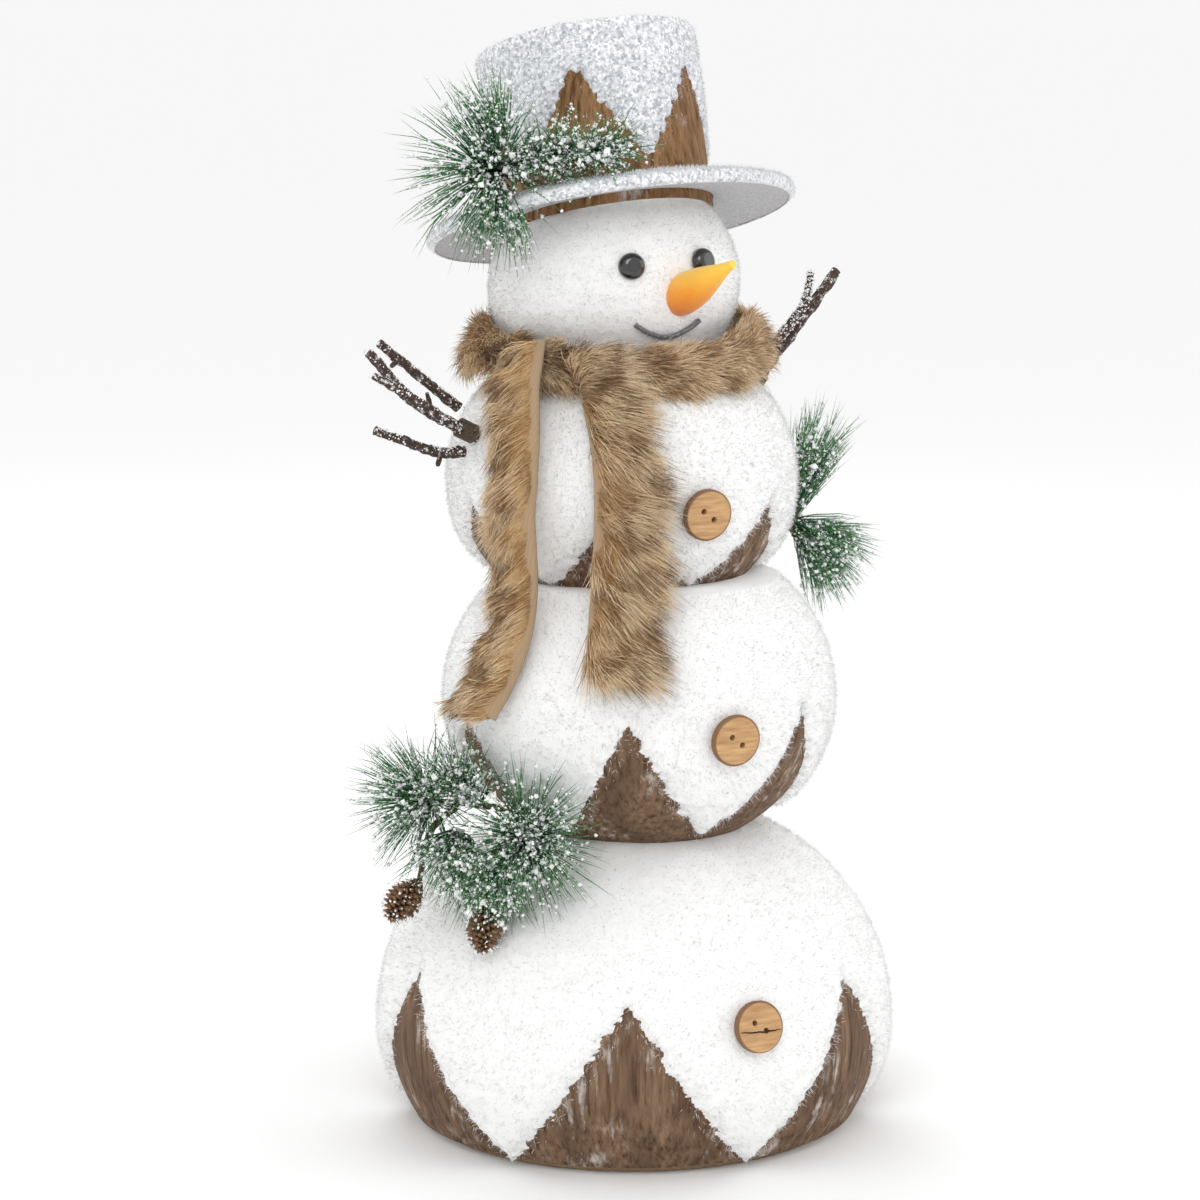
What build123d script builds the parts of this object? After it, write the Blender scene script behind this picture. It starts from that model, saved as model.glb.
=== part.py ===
"""Wooden snowman figure for a winter display, about 50 cm tall.

Three oblate balls and a head stand on a dowel.  Each ball is a foam core under a thin wood
veneer, and a thick flocked snow cover comes down over the wood in points.  A top hat, a fur
scarf, twig arms, three buttons and three snowy pine sprigs dress it.

Frame: millimetres, origin at the centre of the underside, +Z up, and the figure faces -Y.
"""

import os
from math import asin, cos, degrees, radians, sin, sqrt

from build123d import *

# ---------------------------------------------------------------- driving dimensions
# Each ball: setback along Y and height of its centre, wood radius, half height, and the
# heights of the flat cuts where it meets what is under and over it.
BALLS = {
    "bottom": dict(y=0.0, z=48.0, a=113.0, c=97.0, low=4.0, high=135.0),
    "middle": dict(y=-5.0, z=196.0, a=84.0, c=72.0, low=135.4, high=247.0),
    "chest": dict(y=12.0, z=291.0, a=74.5, c=64.0, low=247.4, high=342.0),
}
VENEER = 1.5          # thickness of the wood veneer
SNOW = 4.5            # thickness of the flocked snow
GAP = 0.15            # glue line between nested layers
POINTS = 6            # snow points, and wood triangles, round each ball
# Height of each wood triangle's tip, half its width at the foot, and its turn from the front.
TRIANGLES = {
    "bottom": dict(tip=80.0, half=50.0, turn=1.5),
    "middle": dict(tip=199.0, half=33.0, turn=0.0),
    "chest": dict(tip=286.0, half=32.0, turn=2.0),
}

BASE_R = 94.0         # foot of the bottom ball
BASE_T = 4.0          # board that closes the bottom ball
DOWEL_R = 5.0
DOWEL_Y = 6.0
DOWEL_TOP = 385.0

HEAD_Y = 20.0
HEAD_Z = 379.0
HEAD_A = 56.0         # radius over the flock
HEAD_C = 51.0
HEAD_SNOW = 3.0
TILT_BACK = 16.0      # degrees that the head and hat lean back
TILT_SIDE = 1.5       # degrees that they lean to the figure's right
NECK_CUT = 342.4
SEAT = 26.0           # height over the head's centre of the flat that the hat sits on

HAT_FORWARD = 7.0     # how far the hat sits forward on the head
CROWN_LOW_R = 46.0
CROWN_TOP_R = 47.5
CROWN_H = 79.0
CROWN_WALL = 2.0
CROWN_POINTS = 5
CROWN_TIP = 62.0      # height of the wood triangles' tips over the seat
CROWN_SNOW = 2.4
BRIM_R = 80.0
BRIM_T = 3.0
BRIM_RISE = 4.0       # underside of the brim over the seat, at the crown
BRIM_DROOP = 5.0
RIM_FLOCK = 2.5

BUTTON_R = 11.3
BUTTON_T = 3.6
BUTTON_HOLE_R = 1.3
BUTTON_HOLE_GAP = 3.2  # from the button's centre to each hole
BUTTONS = {"top": ("chest", 285.0), "middle": ("middle", 190.5), "bottom": ("bottom", 68.0)}

EYE_R = 6.0
EYE_BULGE = 4.4
EYE_TURN = 18.0       # degrees each side of the nose
EYE_UP = -3.5
EYE_PEG_DEPTH = 12.0
NOSE_R = 8.8
NOSE_L = 44.0
NOSE_PLACE = (7.0, -18.0)  # turn in degrees and height on the head
NOSE_SINK = 6.0       # depth of its seat under the face
NOSE_RISE = 8.0       # degrees that the nose points up from the face
NOSE_YAW = 10.0       # degrees that it points to the figure's left
NOSE_PEG_DEPTH = 14.0

SCARF_Y = 17.0
SCARF_Z = 356.3
SCARF_R = 61.0        # to the middle of the strip
SCARF_T = 10.0
SCARF_W = 29.0
TAIL_W = 34.0
TAIL_T = 9.0

ARM_FIT = 0.06        # radial play of a twig arm in its socket
SPRIG_WIRE_R = 1.3

os.makedirs("parts", exist_ok=True)


def save(solid, name):
    """Label a finished piece and write it."""
    solid.label = name
    export_step(solid, f"parts/{name}.step")


# ---------------------------------------------------------------- balls
def ball_radius(ball, height, grow=0.0):
    """Radius of a ball at a height, over its wood or over a layer that grows it."""
    rise = (height - ball["z"]) / (ball["c"] + grow)
    return (ball["a"] + grow) * sqrt(1 - rise**2)


def meridian(ball, grow):
    """The outline of a ball's layer between its flat cuts, from the lower cut to the upper."""
    rise = [(ball[cut] - ball["z"]) / (ball["c"] + grow) for cut in ("low", "high")]
    start, end = [degrees(asin(value)) for value in rise]
    size = (ball["a"] + grow, ball["c"] + grow)
    return EllipticalCenterArc((0, ball["z"]), *size, start, arc_size=end - start)


def layer(ball, inner, outer):
    """A closed shell of revolution between two growths of a ball's wood outline."""
    with BuildPart() as shell:
        with BuildSketch(Plane((0, ball["y"], 0), x_dir=(1, 0, 0), z_dir=(0, -1, 0))):
            with BuildLine():
                outside = meridian(ball, outer)
                inside = meridian(ball, inner)
                Line(outside @ 0, inside @ 0)
                Line(outside @ 1, inside @ 1)
            make_face()
        revolve(axis=Axis((0, ball["y"], 0), (0, 0, 1)))
    return shell.part


def radial_plane(centre, angle):
    """A plane through a vertical axis that faces out at an angle from the front, X along it."""
    turn = radians(angle)
    return Plane(centre, x_dir=(cos(turn), sin(turn), 0), z_dir=(sin(turn), -cos(turn), 0))


def cut_triangles(shell, ball, wedge):
    """Cut the snow away over the wood triangles, so that its hem hangs in points."""
    with BuildPart() as cover:
        add(shell)
        for index in range(POINTS):
            angle = wedge["turn"] + (index + 0.5) * 360 / POINTS
            with BuildSketch(radial_plane((0, ball["y"], 0), angle)):
                Polygon(
                    (-wedge["half"], ball["low"] - 0.1),
                    (wedge["half"], ball["low"] - 0.1),
                    (0, wedge["tip"]),
                    align=None,
                )
            extrude(amount=ball["a"] + 2 * SNOW, mode=Mode.SUBTRACT)
    return cover.part


def foam_core(ball, socket_tools=()):
    """The foam inside a ball, bored for the dowel and for anything pushed into it."""
    with BuildPart() as core:
        with BuildSketch(Plane((0, ball["y"], 0), x_dir=(1, 0, 0), z_dir=(0, -1, 0))):
            with BuildLine():
                outline = meridian(ball, -VENEER - GAP)
                Polyline(outline @ 0, (0, ball["low"]), (0, ball["high"]), outline @ 1)
            make_face()
        revolve(axis=Axis((0, ball["y"], 0), (0, 0, 1)))
        with Locations((0, DOWEL_Y, ball["z"])):
            Cylinder(DOWEL_R + GAP, 4 * ball["c"], mode=Mode.SUBTRACT)
        for tool in socket_tools:
            add(tool, mode=Mode.SUBTRACT)
    return core.part


# ---------------------------------------------------------------- twigs
def limb(points, radii):
    """A twig of straight tapered runs with rounded knots between them."""
    with BuildPart() as twig:
        for start, end, low, high in zip(points, points[1:], radii, radii[1:]):
            run = Vector(*end) - Vector(*start)
            end_on = (Align.CENTER, Align.CENTER, Align.MIN)
            with Locations(Plane(start, z_dir=run)):
                if low == high:
                    Cylinder(low, run.length, align=end_on)
                else:
                    Cone(low, high, run.length, align=end_on)
        for point, radius in zip(points[1:-1], radii[1:-1]):
            with Locations(point):
                Sphere(radius * 1.04)
    return twig.part


def along(start, direction, distance):
    """A point at a distance from a start."""
    return tuple(Vector(*start) + Vector(*direction).normalized() * distance)


# Each arm's socket mouth and the direction that its main twig leaves in.
RIGHT_ROOT = (-66.0, 8.0, 311.0)
RIGHT_WAY = (-1.0, 0.0, 0.50)
LEFT_ROOT = (58.5, 8.0, 324.0)
LEFT_WAY = (0.66, 0.0, 0.75)
PEG_DEPTH = 24.0
MAIN_R = 3.0


def socket(root, way, play, length):
    """A round bore tool along an arm's axis, from inside the foam to outside the snow."""
    with BuildPart() as tool:
        with Locations(Plane(along(root, way, -PEG_DEPTH - 1.0), z_dir=way)):
            Cylinder(MAIN_R + play, length, align=(Align.CENTER, Align.CENTER, Align.MIN))
    return tool.part


SOCKET_L = 70.0
core_sockets = [socket(root, way, ARM_FIT, SOCKET_L)
                for root, way in ((RIGHT_ROOT, RIGHT_WAY), (LEFT_ROOT, LEFT_WAY))]
skin_sockets = [socket(root, way, 0.8, SOCKET_L)
                for root, way in ((RIGHT_ROOT, RIGHT_WAY), (LEFT_ROOT, LEFT_WAY))]

for ball_name, ball in BALLS.items():
    bores = core_sockets if ball_name == "chest" else ()
    save(foam_core(ball, bores), f"{ball_name}_ball_core")
    veneer = layer(ball, -VENEER, 0.0)
    cover = cut_triangles(layer(ball, GAP, SNOW), ball, TRIANGLES[ball_name])
    if ball_name == "chest":
        for tool in skin_sockets:
            veneer = veneer - tool
            cover = cover - tool
    save(veneer, f"{ball_name}_ball_veneer")
    save(cover, f"{ball_name}_ball_snow")

with BuildPart() as base_board:
    with BuildSketch():
        Circle(BASE_R)
    extrude(amount=BASE_T - GAP)
    with Locations((0, DOWEL_Y, 0)):
        Hole(DOWEL_R + GAP)
    fillet(base_board.faces().sort_by(Axis.Z)[0].edges().sort_by(SortBy.LENGTH)[-1], 1.2)
save(base_board.part, "base_board")

with BuildPart() as centre_dowel:
    with BuildSketch(Plane((0, DOWEL_Y, 0.6))):
        Circle(DOWEL_R)
    extrude(amount=DOWEL_TOP)
    chamfer(centre_dowel.edges(), 0.8)
save(centre_dowel.part, "centre_dowel")

# ---------------------------------------------------------------- head
lean = Vector(-sin(radians(TILT_SIDE)), sin(radians(TILT_BACK)), cos(radians(TILT_BACK)))
HEAD = Plane((0, HEAD_Y, HEAD_Z), x_dir=Vector(0, 1, 0).cross(lean), z_dir=lean)


def head_meridian_plane(offset_y=0.0):
    """The head's own upright plane: its X to the side and its Y up the tilted axis."""
    return Plane(HEAD.from_local_coords(Vector(0, offset_y, 0)), x_dir=HEAD.x_dir,
                 z_dir=-HEAD.y_dir)


def head_axis(offset_y=0.0):
    """The tilted axis of the head, or of the hat that sits forward of it."""
    return Axis(HEAD.from_local_coords(Vector(0, offset_y, 0)), HEAD.z_dir)


def head_ball(grow):
    """The head's ball, flat where the hat sits and where the neck stands on the chest."""
    top = degrees(asin(SEAT / (HEAD_C + grow)))
    with BuildPart() as ball:
        with BuildSketch(head_meridian_plane()):
            with BuildLine():
                size = (HEAD_A + grow, HEAD_C + grow)
                outline = EllipticalCenterArc((0, 0), *size, -90, arc_size=90 + top)
                Polyline(outline @ 1, (0, SEAT), outline @ 0)
            make_face()
        revolve(axis=head_axis())
        split(bisect_by=Plane((0, 0, NECK_CUT)), keep=Keep.TOP)
    return ball.part


def face_plane(side, up, out=0.0):
    """A plane on the face, at a turn from the front and a height, facing straight out."""
    turn = radians(side)
    radius = (HEAD_A + out) * sqrt(1 - (up / (HEAD_C + out))**2)
    normal = Vector(sin(turn) * radius / HEAD_A**2, -cos(turn) * radius / HEAD_A**2,
                    up / HEAD_C**2).normalized()
    place = Vector(sin(turn) * radius, -cos(turn) * radius, up)
    origin = HEAD.from_local_coords(place)
    facing = HEAD.from_local_coords(place + normal) - origin
    return Plane(origin, z_dir=facing)


NOSE = face_plane(*NOSE_PLACE, -NOSE_SINK)
ahead = cos(radians(NOSE_RISE))
nose_way = HEAD.from_local_coords(Vector(ahead * sin(radians(NOSE_YAW)),
                                         -ahead * cos(radians(NOSE_YAW)),
                                         sin(radians(NOSE_RISE)))) - HEAD.origin
NOSE_BASE = Plane(NOSE.origin, x_dir=HEAD.x_dir, z_dir=nose_way)
PEG_R = 1.5
EYES = {"right": -EYE_TURN, "left": EYE_TURN}

with BuildPart() as head_core:
    add(head_ball(-HEAD_SNOW - GAP))
    with Locations((0, DOWEL_Y, NECK_CUT)):
        Cylinder(DOWEL_R + GAP, 2 * (DOWEL_TOP - NECK_CUT + 2.0), mode=Mode.SUBTRACT)
    with Locations(*[face_plane(turn, EYE_UP) for turn in EYES.values()]):
        Cylinder(PEG_R + GAP, 28.0, mode=Mode.SUBTRACT)
    with Locations(NOSE_BASE):
        Cylinder(2 * PEG_R + GAP, 34.0, mode=Mode.SUBTRACT)
        Cylinder(NOSE_R + GAP, 17.0, align=(Align.CENTER, Align.CENTER, Align.MIN),
                 mode=Mode.SUBTRACT)
save(head_core.part, "head_core")

with BuildPart() as head_snow:
    add(head_ball(0.0))
    add(head_ball(-HEAD_SNOW), mode=Mode.SUBTRACT)
    with Locations(*[face_plane(turn, EYE_UP) for turn in EYES.values()]):
        Cylinder(PEG_R + GAP, 28.0, mode=Mode.SUBTRACT)
    with Locations(NOSE_BASE):
        Cylinder(NOSE_R + GAP, 34.0, mode=Mode.SUBTRACT)
save(head_snow.part, "head_snow")

for side, turn in EYES.items():
    eye_seat = face_plane(turn, EYE_UP, 0.2)
    with BuildPart() as eye:
        with BuildSketch(eye_seat):
            Circle(EYE_R)
        extrude(amount=EYE_BULGE)
        fillet(eye.faces().sort_by(Axis(eye_seat.origin, eye_seat.z_dir))[-1].edges(),
               0.9 * EYE_BULGE)
        with BuildSketch(eye_seat):
            Circle(PEG_R)
        extrude(amount=-EYE_PEG_DEPTH)
    save(eye.part, f"{side}_eye")

# The carrot's radius at stations along its length: it bulges a little below the middle.
NOSE_SHAPE = ((0.3, 0.92), (0.16 * NOSE_L, 1.0), (0.55 * NOSE_L, 0.72), (NOSE_L, 0.2))
with BuildPart() as carrot_nose:
    for height, share in NOSE_SHAPE:
        with BuildSketch(NOSE_BASE.offset(height)):
            Circle(share * NOSE_R)
    loft()
    with BuildSketch(NOSE_BASE.offset(0.3)):
        Circle(2 * PEG_R)
    extrude(amount=-NOSE_PEG_DEPTH)
save(carrot_nose.part, "carrot_nose")

MOUTH_R = 1.1
MOUTH_TURNS = (-19.0, -9.5, 0.0, 9.5, 19.0)
MOUTH_HEIGHTS = (-28.0, -32.5, -34.0, -32.5, -28.0)
with BuildPart() as mouth_cord:
    with BuildLine() as smile:
        Spline(*[face_plane(turn, up, MOUTH_R + 0.25).origin
                 for turn, up in zip(MOUTH_TURNS, MOUTH_HEIGHTS)])
    with BuildSketch(Plane(smile.line @ 0, z_dir=smile.line % 0)):
        Circle(MOUTH_R)
    sweep()
save(mouth_cord.part, "mouth_cord")

# ---------------------------------------------------------------- hat
HAT = head_meridian_plane(-HAT_FORWARD)
HAT_AXIS = head_axis(-HAT_FORWARD)
CROWN_FOOT = SEAT + 0.2


def crown_radius(height):
    """Outside radius of the wooden crown at a height over the head's centre."""
    share = (height - CROWN_FOOT) / CROWN_H
    return CROWN_LOW_R + (CROWN_TOP_R - CROWN_LOW_R) * share


CROWN_END = CROWN_FOOT + CROWN_H

with BuildPart() as hat_crown_core:
    with BuildSketch(HAT):
        Polygon(
            (0, CROWN_FOOT),
            (CROWN_LOW_R - CROWN_WALL - GAP, CROWN_FOOT),
            (CROWN_TOP_R - CROWN_WALL - GAP, CROWN_END),
            (0, CROWN_END),
            align=None,
        )
    revolve(axis=HAT_AXIS)
save(hat_crown_core.part, "hat_crown_core")

with BuildPart() as hat_crown_veneer:
    with BuildSketch(HAT):
        Polygon(
            (CROWN_LOW_R - CROWN_WALL, CROWN_FOOT),
            (CROWN_LOW_R, CROWN_FOOT),
            (CROWN_TOP_R, CROWN_END),
            (CROWN_TOP_R - CROWN_WALL, CROWN_END),
            align=None,
        )
    revolve(axis=HAT_AXIS)
save(hat_crown_veneer.part, "hat_crown_veneer")

SNOW_FOOT = CROWN_FOOT + BRIM_RISE + BRIM_T + RIM_FLOCK + 1.0
with BuildPart() as hat_crown_snow:
    with BuildSketch(HAT):
        Polygon(
            (0, CROWN_END + GAP),
            (CROWN_TOP_R + GAP, CROWN_END + GAP),
            (crown_radius(SNOW_FOOT) + GAP, SNOW_FOOT),
            (crown_radius(SNOW_FOOT) + CROWN_SNOW, SNOW_FOOT),
            (CROWN_TOP_R + CROWN_SNOW, CROWN_END + CROWN_SNOW),
            (0, CROWN_END + CROWN_SNOW),
            align=None,
        )
    revolve(axis=HAT_AXIS)
    fillet(hat_crown_snow.edges().sort_by(HAT_AXIS)[-1], 1.6)
    for index in range(CROWN_POINTS):
        turn = radians((index + 0.5) * 360 / CROWN_POINTS)
        out = HEAD.x_dir * sin(turn) - HEAD.y_dir * cos(turn)
        sideways = HEAD.x_dir * cos(turn) + HEAD.y_dir * sin(turn)
        with BuildSketch(Plane(HAT_AXIS.position, x_dir=sideways, z_dir=out)):
            Polygon(
                (-31.0, SNOW_FOOT - 1.0),
                (31.0, SNOW_FOOT - 1.0),
                (0, CROWN_FOOT + CROWN_TIP),
                align=None,
            )
        extrude(amount=CROWN_TOP_R + 2 * CROWN_SNOW, mode=Mode.SUBTRACT)
save(hat_crown_snow.part, "hat_crown_snow")


def brim_outline(radius, low, height):
    """Lower and upper curves of a drooping brim, as local points for one side of it."""
    start = CROWN_FOOT + BRIM_RISE + low
    middle = 0.5 * (CROWN_LOW_R + radius)
    lower = ThreePointArc((CROWN_LOW_R + 0.5, start), (middle, start - 0.22 * BRIM_DROOP),
                          (radius, start - BRIM_DROOP))
    upper = ThreePointArc((CROWN_LOW_R + 0.5, start + height),
                          (middle, start + height - 0.22 * BRIM_DROOP),
                          (radius, start + height - BRIM_DROOP))
    return lower, upper


with BuildPart() as hat_brim:
    with BuildSketch(HAT):
        with BuildLine():
            lower, upper = brim_outline(BRIM_R, 0.0, BRIM_T)
            Line(lower @ 0, upper @ 0)
            Line(lower @ 1, upper @ 1)
        make_face()
    revolve(axis=HAT_AXIS)
save(hat_brim.part, "hat_brim")

with BuildPart() as hat_brim_snow:
    with BuildSketch(HAT):
        with BuildLine():
            lower, upper = brim_outline(BRIM_R, BRIM_T + GAP, RIM_FLOCK)
            Line(lower @ 0, upper @ 0)
            rim = Vector(BRIM_R, CROWN_FOOT + BRIM_RISE - BRIM_DROOP)
            Polyline(lower @ 1, (BRIM_R + GAP, rim.Y + BRIM_T), (BRIM_R + GAP, rim.Y - 0.6))
            ThreePointArc((BRIM_R + GAP, rim.Y - 0.6), (BRIM_R + RIM_FLOCK, rim.Y + 0.5 * BRIM_T),
                          upper @ 1)
        make_face()
    revolve(axis=HAT_AXIS)
save(hat_brim_snow.part, "hat_brim_snow")

# ---------------------------------------------------------------- buttons
for name, (ball_name, height) in BUTTONS.items():
    ball = BALLS[ball_name]
    radius = ball_radius(ball, height, SNOW)
    slope = Vector(0, -radius / (ball["a"] + SNOW)**2,
                   (height - ball["z"]) / (ball["c"] + SNOW)**2).normalized()
    seat = Vector(0, ball["y"] - radius, height) + slope * 1.1
    with BuildPart() as button:
        with BuildSketch(Plane(seat, x_dir=(1, 0, 0), z_dir=slope)) as face:
            Circle(BUTTON_R)
            with Locations((-0.8 * BUTTON_HOLE_GAP, 0.6 * BUTTON_HOLE_GAP),
                           (0.8 * BUTTON_HOLE_GAP, -0.6 * BUTTON_HOLE_GAP)):
                Circle(BUTTON_HOLE_R, mode=Mode.SUBTRACT)
        extrude(amount=BUTTON_T)
        rims = button.edges().filter_by(GeomType.CIRCLE).group_by(SortBy.RADIUS)[-1]
        chamfer(rims, 0.7)
    save(button.part, f"{name}_button")

# ---------------------------------------------------------------- scarf
SCARF_LEAN = 10.0     # degrees that the strip flares outward at its top
with BuildPart() as scarf_neck_loop:
    with BuildSketch(Plane((0, SCARF_Y, 0), x_dir=(1, 0, 0), z_dir=(0, -1, 0))):
        with Locations((SCARF_R, SCARF_Z)):
            Ellipse(SCARF_T / 2, SCARF_W / 2, rotation=-SCARF_LEAN)
    revolve(axis=Axis((0, SCARF_Y, 0), (0, 0, 1)))
save(scarf_neck_loop.part, "scarf_neck_loop")


def scarf_tail(angle, run):
    """A hanging tail of the strip: a slab that follows a run of points down the front."""
    centre = (0, SCARF_Y, 0)
    out = radial_plane(centre, angle)
    side_plane = Plane(centre, x_dir=out.z_dir, z_dir=-out.x_dir)
    with BuildPart() as tail:
        with BuildSketch(side_plane):
            with BuildLine():
                inner = Spline(*run)
                outer = Spline(*[(radius + TAIL_T, height) for radius, height in run])
                Line(inner @ 0, outer @ 0)
                Line(inner @ 1, outer @ 1)
            make_face()
        extrude(amount=TAIL_W / 2, both=True)
        fillet(tail.edges().filter_by(GeomType.BSPLINE), 2.5)
    return tail.part


save(scarf_tail(-61.0, [(84.0, 330.0), (91.5, 295.0), (92.0, 255.0), (103.0, 205.0)]),
     "scarf_right_tail")
save(scarf_tail(-30.0, [(80.5, 328.0), (90.0, 292.0), (95.0, 255.0), (110.0, 222.0)]),
     "scarf_left_tail")

# ---------------------------------------------------------------- twig arms
RIGHT_ARM = {
    "right_arm_main_twig": (
        [along(RIGHT_ROOT, RIGHT_WAY, -PEG_DEPTH), along(RIGHT_ROOT, RIGHT_WAY, 22.0),
         (-106.0, 7.5, 333.5), (-124.0, 9.0, 353.5)],
        [MAIN_R, MAIN_R, 2.7, 2.3]),
    "right_arm_upper_twig": (
        [(-80.0, 12.5, 327.0), (-97.0, 14.5, 341.0), (-117.0, 14.0, 357.0)],
        [2.3, 2.1, 1.8]),
    "right_arm_middle_twig": (
        [(-84.0, 1.5, 318.0), (-101.0, 0.0, 329.5), (-125.0, 1.5, 344.0)],
        [2.2, 2.0, 1.6]),
    "right_arm_lower_twig": (
        [(-81.0, 5.0, 308.5), (-96.0, 4.0, 309.5), (-123.0, 6.0, 320.0)],
        [2.4, 2.3, 1.7]),
}
LEFT_ARM = {
    "left_arm_main_twig": (
        [along(LEFT_ROOT, LEFT_WAY, -PEG_DEPTH), along(LEFT_ROOT, LEFT_WAY, 16.0),
         (88.0, 7.0, 358.0), (108.5, 8.0, 381.0)],
        [MAIN_R, MAIN_R, 2.9, 2.4]),
    "left_arm_side_twig": (
        [(69.0, 2.6, 343.0), (74.0, 0.0, 352.5), (86.5, 0.5, 366.0), (91.5, 2.0, 381.0)],
        [2.0, 1.9, 2.0, 1.5]),
}
for arm in (RIGHT_ARM, LEFT_ARM):
    for name, (points, radii) in arm.items():
        save(limb(points, radii), name)


def binding(root, way, start, length):
    """A sleeve of florist's tape round an arm's main twig."""
    with BuildPart() as sleeve:
        with BuildSketch(Plane(along(root, way, start), z_dir=way)):
            Circle(MAIN_R + 1.4)
            Circle(MAIN_R + 0.05, mode=Mode.SUBTRACT)
        extrude(amount=length)
    return sleeve.part


save(binding(RIGHT_ROOT, RIGHT_WAY, 10.0, 8.0), "right_arm_tape")
save(binding(LEFT_ROOT, LEFT_WAY, 11.0, 4.5), "left_arm_tape")

# ---------------------------------------------------------------- pine sprigs
# Each sprig: where its wires are pushed in, and its tufts of needles as a bud and a radius.
SPRIGS = {
    "hat_sprig": dict(
        root=(-46.0, 12.0, 424.0),
        tufts=[((-78.0, -6.0, 432.0), 40.0), ((-50.0, -42.0, 434.0), 26.0)]),
    "chest_sprig": dict(
        root=(66.0, 14.0, 268.0),
        tufts=[((88.0, 2.0, 290.0), 30.0), ((92.0, 0.0, 256.0), 27.0)]),
    "middle_sprig": dict(
        root=(-62.0, -16.0, 150.0),
        tufts=[((-84.0, -46.0, 142.0), 42.0), ((-104.0, 2.0, 160.0), 40.0)]),
}
CLEAR = 0.3           # how far the needles stay off what they lie on


def whole_ball(ball, grow):
    """A ball's full rounded outline as a solid, with no flats."""
    with BuildPart() as solid:
        with BuildSketch(Plane((0, ball["y"], ball["z"]), x_dir=(1, 0, 0), z_dir=(0, -1, 0))):
            with BuildLine():
                half = EllipticalCenterArc((0, 0), ball["a"] + grow, ball["c"] + grow, -90,
                                           arc_size=180)
                Line(half @ 1, half @ 0)
            make_face()
        revolve(axis=Axis((0, ball["y"], 0), (0, 0, 1)))
    return solid.part


with BuildPart() as hat_space:
    with BuildSketch(HAT):
        with BuildLine():
            lower, upper = brim_outline(BRIM_R + 2 * RIM_FLOCK, -2.0, BRIM_T + 2 * RIM_FLOCK)
            Line(lower @ 1, upper @ 1)
            Polyline(upper @ 0, (CROWN_TOP_R + CROWN_SNOW + CLEAR, upper.start_point().Y),
                     (CROWN_TOP_R + CROWN_SNOW + CLEAR, CROWN_END + 2 * CROWN_SNOW),
                     (0, CROWN_END + 2 * CROWN_SNOW), (0, (lower @ 0).Y), lower @ 0)
        make_face()
    revolve(axis=HAT_AXIS)
with BuildPart() as head_space:
    add(head_ball(CLEAR))

KEEP_OUT = {
    "hat_sprig": [hat_space.part, head_space.part],
    "chest_sprig": [whole_ball(BALLS[name], SNOW + CLEAR) for name in ("middle", "chest")],
    "middle_sprig": [whole_ball(BALLS[name], SNOW + CLEAR) for name in ("bottom", "middle")],
}

CONES = [((-92.0, -40.0, 116.0), (-0.35, -0.5, -0.8)), ((-111.0, -10.0, 122.0), (-0.7, -0.2, -0.6))]
CONE_R = 9.0
CONE_L = 22.0
with BuildPart() as pine_cones:
    for place, way in CONES:
        seat = Plane(place, z_dir=way)
        with BuildSketch(Plane(seat.origin, x_dir=seat.x_dir, z_dir=seat.x_dir.cross(seat.z_dir))):
            with BuildLine():
                Spline((0, 0), (CONE_R, 0.3 * CONE_L), (0.7 * CONE_R, 0.7 * CONE_L), (0, CONE_L),
                       tangents=[(1, 0), (-1, 0)])
                Line((0, CONE_L), (0, 0))
            make_face()
        revolve(axis=Axis(seat.origin, seat.z_dir))
save(pine_cones.part, "pine_cones")

for name, sprig in SPRIGS.items():
    buds = [bud for bud, _ in sprig["tufts"]]
    with BuildPart() as stems:
        for bud in buds:
            add(limb([sprig["root"], bud], [SPRIG_WIRE_R, SPRIG_WIRE_R]))
    with BuildPart() as needles:
        for bud, reach in sprig["tufts"]:
            with Locations(bud):
                Sphere(reach)
        for space in KEEP_OUT[name] + [stems.part]:
            add(space, mode=Mode.SUBTRACT)
        add(pine_cones.part, mode=Mode.SUBTRACT)
    save(stems.part, f"{name}_stems")
    save(needles.part, f"{name}_needles")
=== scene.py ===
"""Looks of the wooden snowman figure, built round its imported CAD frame."""

import math

import bpy
import numpy as np
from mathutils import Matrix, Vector, noise


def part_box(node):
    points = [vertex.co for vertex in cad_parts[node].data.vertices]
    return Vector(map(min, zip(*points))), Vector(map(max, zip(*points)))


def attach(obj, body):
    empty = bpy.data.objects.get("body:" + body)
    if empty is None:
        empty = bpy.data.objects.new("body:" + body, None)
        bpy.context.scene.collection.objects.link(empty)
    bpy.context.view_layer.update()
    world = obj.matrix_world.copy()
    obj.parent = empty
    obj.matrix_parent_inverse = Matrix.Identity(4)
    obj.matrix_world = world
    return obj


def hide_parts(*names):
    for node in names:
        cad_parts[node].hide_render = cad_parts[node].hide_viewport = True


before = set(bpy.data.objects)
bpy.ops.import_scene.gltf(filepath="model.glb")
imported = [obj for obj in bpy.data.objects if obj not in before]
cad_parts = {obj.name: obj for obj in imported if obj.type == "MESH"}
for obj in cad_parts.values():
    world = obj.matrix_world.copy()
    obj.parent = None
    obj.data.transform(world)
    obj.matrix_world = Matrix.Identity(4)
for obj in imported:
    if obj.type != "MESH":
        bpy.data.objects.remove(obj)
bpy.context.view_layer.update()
MM = 0.001

# ---------------------------------------------------------------- camera and light
# The photograph looks 27 degrees round the figure's right side, a little from above.
VIEW_AZIMUTH = math.radians(-27.0)
VIEW_HEIGHT = math.radians(9.6)
VIEW_DISTANCE = 1.7
AIM_HEIGHT = 0.230
LENS = 113.3
SHIFT = (-0.0283, 0.0133)
FLOOR_SIZE = 200.0


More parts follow.
